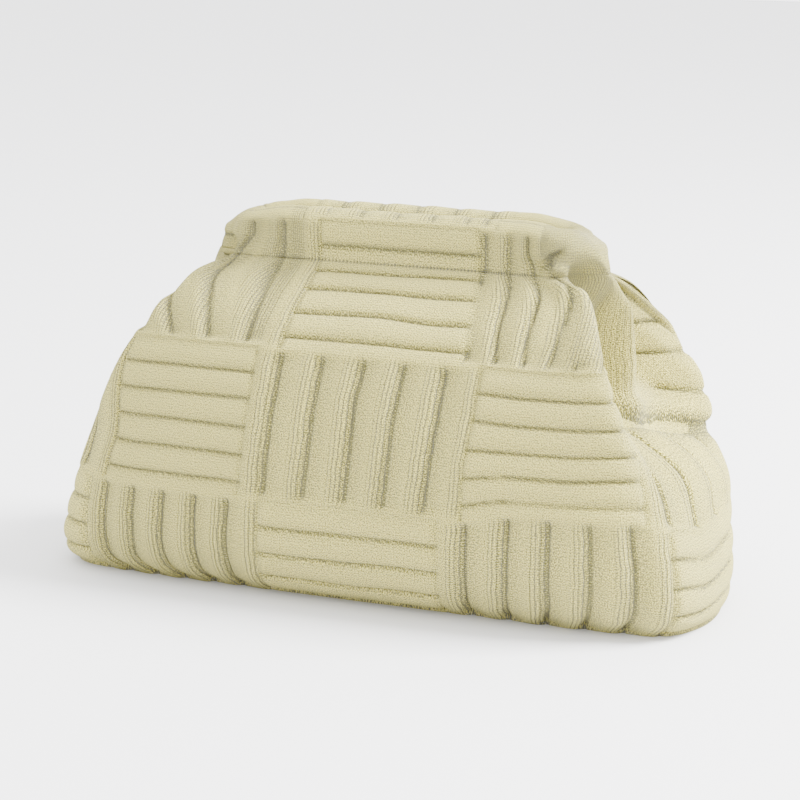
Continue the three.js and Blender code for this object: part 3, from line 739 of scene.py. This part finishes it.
class Graph:
    """Short way to write a material's nodes."""

    def __init__(self, name):
        self.material = bpy.data.materials.new(name)
        self.material.use_nodes = True
        self.nodes = self.material.node_tree.nodes
        self.links = self.material.node_tree.links
        self.shader = self.nodes["Principled BSDF"]

    def set(self, **values):
        """Sets the shader's own sockets; a name's underscores stand for spaces."""
        for name, value in values.items():
            self.shader.inputs[name.replace("_", " ")].default_value = value

    def math(self, operation, *values, clamp=False):
        node = self.nodes.new("ShaderNodeMath")
        node.operation = operation
        node.use_clamp = clamp
        for socket, value in zip(node.inputs, values):
            if isinstance(value, (int, float)):
                socket.default_value = value
            else:
                self.links.new(value, socket)
        return node.outputs[0]

    def total(self, first, *others):
        """Sum of pairs of a value and its share."""
        result = self.math("MULTIPLY", *first)
        for value, share in others:
            result = self.math("ADD", result, self.math("MULTIPLY", value, share))
        return result

    def scaled(self, value, factor, offset):
        return self.math("ADD", self.math("MULTIPLY", value, factor), offset)

    def from_line(self, place, spacing):
        """Distance from the middle between evenly spaced lines: 0 there, 0.5 on a line."""
        part = self.math("FRACT", self.math("DIVIDE", place, spacing))
        return self.math("ABSOLUTE", self.math("SUBTRACT", part, 0.5))

    def noise(self, vector, scale, detail):
        node = self.nodes.new("ShaderNodeTexNoise")
        node.inputs["Scale"].default_value = scale
        node.inputs["Detail"].default_value = detail
        self.links.new(vector, node.inputs["Vector"])
        return node.outputs["Fac"]

    def attribute(self, name):
        node = self.nodes.new("ShaderNodeAttribute")
        node.attribute_name = name
        return node.outputs["Fac"]

    def colour(self, factor, a, b):
        """The surface's colour: a where the factor is 0, b where it is 1."""
        node = self.nodes.new("ShaderNodeMix")
        node.data_type = "RGBA"
        node.inputs["A"].default_value = (*a, 1)
        node.inputs["B"].default_value = (*b, 1)
        self.links.new(factor, node.inputs["Factor"])
        self.links.new(node.outputs["Result"], self.shader.inputs["Base Color"])


# Knit: sizes of its stitches and lines (mm), the yarn's own colour, and the darker, greener colour it is
# mixed towards for painted shade in hollows, grooves and creases and for its dark lines and stitching
WALE_MM, COURSE_MM, LINE_MM, BEAD_MM, STITCH_MM = 1.6, 1.3, 2.2, 1.9, 2.1
STRAY_SCALE, STRAY_MM = 0.12, 1.6
LEG_SLANT, BEAD_SLANT = 1.5, 1.2
LINE_SHARP, DOT_DEPTH = 4, 0.55
FUZZ_SCALE = 1.5
SPECKLE, SPECKLE_SUNK = 3.4, 2.2
BUMP_M = 0.0012
# What each part of the knit adds to the bump's height, and how much darker it makes the colour: painted
# shade where the cloth lies deep, along the grooves and between the stitch loops; real darker lines and
# running stitch
STITCH_HIGH, FUZZ_HIGH, LINES_HIGH, STITCHING_HIGH = 0.7, 0.9, -1.1, -0.8
SUNK_SHADE, DOTTED_SHADE, LINES_DARK, BETWEEN_STITCH_SHADE, STITCHING_DARK = 0.42, 0.9, 1.0, 0.6, 0.8
BEADS, BEADS_MEAN = 0.5, 0.6
DASH_FROM = -0.1
KNIT_TOP = (0.77, 0.675, 0.155)
KNIT_SHADE_AND_DARK_YARN = (0.115, 0.105, 0.012)


def knit_material(name):
    """Ribbed knit from the cloth's own coordinates: rows of small V stitches, lines and dots, with painted
    shade in its hollows, grooves and between the stitch loops.
    """
    graph = Graph(name)
    math_of = graph.math
    graph.set(Roughness=0.95, Specular_IOR_Level=0.2, Sheen_Weight=0.2, Sheen_Roughness=0.6)
    uv = graph.nodes.new("ShaderNodeUVMap")
    uv.uv_map = "cloth"
    place = uv.outputs[0]
    split = graph.nodes.new("ShaderNodeSeparateXYZ")
    graph.links.new(place, split.inputs[0])
    stray = math_of("MULTIPLY", graph.noise(place, STRAY_SCALE, 2), STRAY_MM)
    x = math_of("ADD", split.outputs[0], stray)
    y = math_of("ADD", split.outputs[1], stray)
    lined, line = graph.attribute("lined"), graph.attribute("line")
    sunk, seam = graph.attribute("sunk"), graph.attribute("seam")
    # Small V stitches: two slanted legs to a wale
    leg = graph.from_line(x, WALE_MM)
    course = math_of("ADD", math_of("DIVIDE", y, COURSE_MM), math_of("MULTIPLY", leg, LEG_SLANT))
    loops = graph.scaled(math_of("SINE", math_of("MULTIPLY", course, 2 * math.pi)), 0.5, 0.5)
    stitch = math_of("MULTIPLY", loops, math_of("SINE", math_of("MULTIPLY", leg, 2 * math.pi)))
    # Lines of dots along the lined bands
    groove = math_of("MULTIPLY", graph.from_line(x, LINE_MM), LINE_SHARP)
    groove = math_of("SUBTRACT", 1, groove, clamp=True)
    dots = math_of("MULTIPLY", groove, graph.scaled(loops, -DOT_DEPTH, 1))
    lines = math_of("MULTIPLY", dots, lined)
    # Running stitch along the foot of the hem
    dash = math_of("SINE", math_of("MULTIPLY", x, 2 * math.pi / STITCH_MM))
    stitching = math_of("MULTIPLY", seam, math_of("GREATER_THAN", dash, DASH_FROM))
    fuzz = graph.noise(place, FUZZ_SCALE, 2)
    height = graph.total((stitch, STITCH_HIGH), (fuzz, FUZZ_HIGH), (lines, LINES_HIGH),
                         (stitching, STITCHING_HIGH))
    bump = graph.nodes.new("ShaderNodeBump")
    bump.inputs["Strength"].default_value = 1.0
    bump.inputs["Distance"].default_value = BUMP_M
    graph.links.new(height, bump.inputs["Height"])
    graph.links.new(bump.outputs[0], graph.shader.inputs["Normal"])
    # Colour: painted shade, darker and greener, where the cloth lies deep, along the grooves and between
    # the stitch loops, with darker lines and stitching, mottled as hand-dyed cotton is
    mottle = math_of("MULTIPLY", math_of("SUBTRACT", fuzz, 0.5), graph.scaled(sunk, SPECKLE_SUNK, SPECKLE))
    # The painted groove shadow is beaded into dots, as the knit's holes lie along it
    beads = graph.total((y, 2 * math.pi / BEAD_MM), (x, BEAD_SLANT))
    dotted_groove_shade = math_of("MULTIPLY", line, graph.scaled(math_of("SINE", beads), BEADS, BEADS_MEAN))
    # Painted shade between the stitch loops, where the bump is low
    between = math_of("SUBTRACT", 1, stitch)
    # How far the colour goes towards the dark one: painted shade (sunk parts, groove shadow, between the
    # loops) plus the real lines and stitching
    deep = graph.total((sunk, SUNK_SHADE), (dotted_groove_shade, DOTTED_SHADE), (lines, LINES_DARK),
                       (between, BETWEEN_STITCH_SHADE), (stitching, STITCHING_DARK))
    graph.colour(math_of("ADD", deep, mottle, clamp=True), KNIT_TOP, KNIT_SHADE_AND_DARK_YARN)
    return graph.material


# Steel: streaks to a metre along each way, and the two shades between them
STEEL_STREAKS = (30, 900, 2500)
STEEL_DARK, STEEL_LIGHT = (0.36, 0.37, 0.38), (0.58, 0.59, 0.60)
STEEL_ROUGH, STEEL_ROUGHER = 0.25, 0.3


def steel_material(name):
    """Drawn steel strip: fine streaks along its length."""
    graph = Graph(name)
    graph.set(Metallic=1.0)
    stretch = graph.nodes.new("ShaderNodeMapping")
    stretch.inputs["Scale"].default_value = STEEL_STREAKS
    graph.links.new(graph.nodes.new("ShaderNodeTexCoord").outputs["Object"], stretch.inputs["Vector"])
    streaks = graph.noise(stretch.outputs[0], 1, 3)
    graph.colour(streaks, STEEL_DARK, STEEL_LIGHT)
    rough = graph.scaled(streaks, STEEL_ROUGHER, STEEL_ROUGH)
    graph.links.new(rough, graph.shader.inputs["Roughness"])
    return graph.material


# Pieces, each with the CAD node that it replaces
knit = knit_material("knit")
cloth = build_cloth()
sack = build_sack(*cloth)
sack.data.materials.append(knit)
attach(sack, "root")
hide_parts("body")

for piece_name, node, first_u, last_u in (("hem_front", "front_casing", -1.4, 1.2),
                                          ("hem_right_end", "right_end_fold", 1.2, 2.6),
                                          ("hem_back", "back_casing", 2.6, 5.4),
                                          ("hem_left_end", "left_end_fold", 5.4, 6.6)):
    hem = build_hem(piece_name, first_u, last_u, *cloth)
    hem.data.materials.append(knit)
    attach(hem, "root")
    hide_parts(node)

frame_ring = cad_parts["frame"]
if not frame_ring.material_slots:
    frame_ring.data.materials.append(None)
for material_slot in frame_ring.material_slots:
    material_slot.material = steel_material("frame_steel")

# Stage and lights
FLOOR_COLOUR, FLOOR_ROUGHNESS, FLOOR_SIZE = (0.63, 0.63, 0.64), 0.9, 8
WORLD_STRENGTH = 4.6
KEY_PLACE, KEY_TARGET = Vector((1.35, 0.35, 1.45)), Vector((0, 0, 0.08))
KEY_SIZE, KEY_POWER = 0.8, 230

bpy.ops.mesh.primitive_plane_add(size=FLOOR_SIZE)
floor = bpy.context.object
floor.name = "floor"
floor_graph = Graph("floor")
floor_graph.set(Base_Color=(*FLOOR_COLOUR, 1), Roughness=FLOOR_ROUGHNESS)
floor.data.materials.append(floor_graph.material)

world = bpy.data.worlds.new("studio")
bpy.context.scene.world = world
world.use_nodes = True
background = world.node_tree.nodes["Background"]
background.inputs["Color"].default_value = (1, 1, 1, 1)
background.inputs["Strength"].default_value = WORLD_STRENGTH

key_data = bpy.data.lights.new("key", "AREA")
key_data.size = KEY_SIZE
key_data.energy = KEY_POWER
key = bpy.data.objects.new("key", key_data)
bpy.context.scene.collection.objects.link(key)
key.location = KEY_PLACE
key.rotation_euler = (KEY_TARGET - KEY_PLACE).to_track_quat("-Z", "Y").to_euler()

# Camera at the photograph's angle: the image is 800 by 800
AZIMUTH, ELEVATION = math.radians(22), math.radians(14)
DISTANCE, TARGET = 1.2, Vector((0, 0, 0.09))
IMAGE, FOCAL_PX, SENSOR = 800, 2360, 36
CENTRE_PX = (393, 407)
camera_data = bpy.data.cameras.new("camera")
camera_data.sensor_width = SENSOR
camera_data.lens = FOCAL_PX / IMAGE * SENSOR
camera_data.shift_x = (IMAGE / 2 - CENTRE_PX[0]) / IMAGE
camera_data.shift_y = (CENTRE_PX[1] - IMAGE / 2) / IMAGE
camera = bpy.data.objects.new("camera", camera_data)
bpy.context.scene.collection.objects.link(camera)
toward = Vector((math.sin(AZIMUTH) * math.cos(ELEVATION), -math.cos(AZIMUTH) * math.cos(ELEVATION),
                 math.sin(ELEVATION)))
camera.location = TARGET + toward * DISTANCE
camera.rotation_euler = (-toward).to_track_quat("-Z", "Y").to_euler()
bpy.context.scene.camera = camera
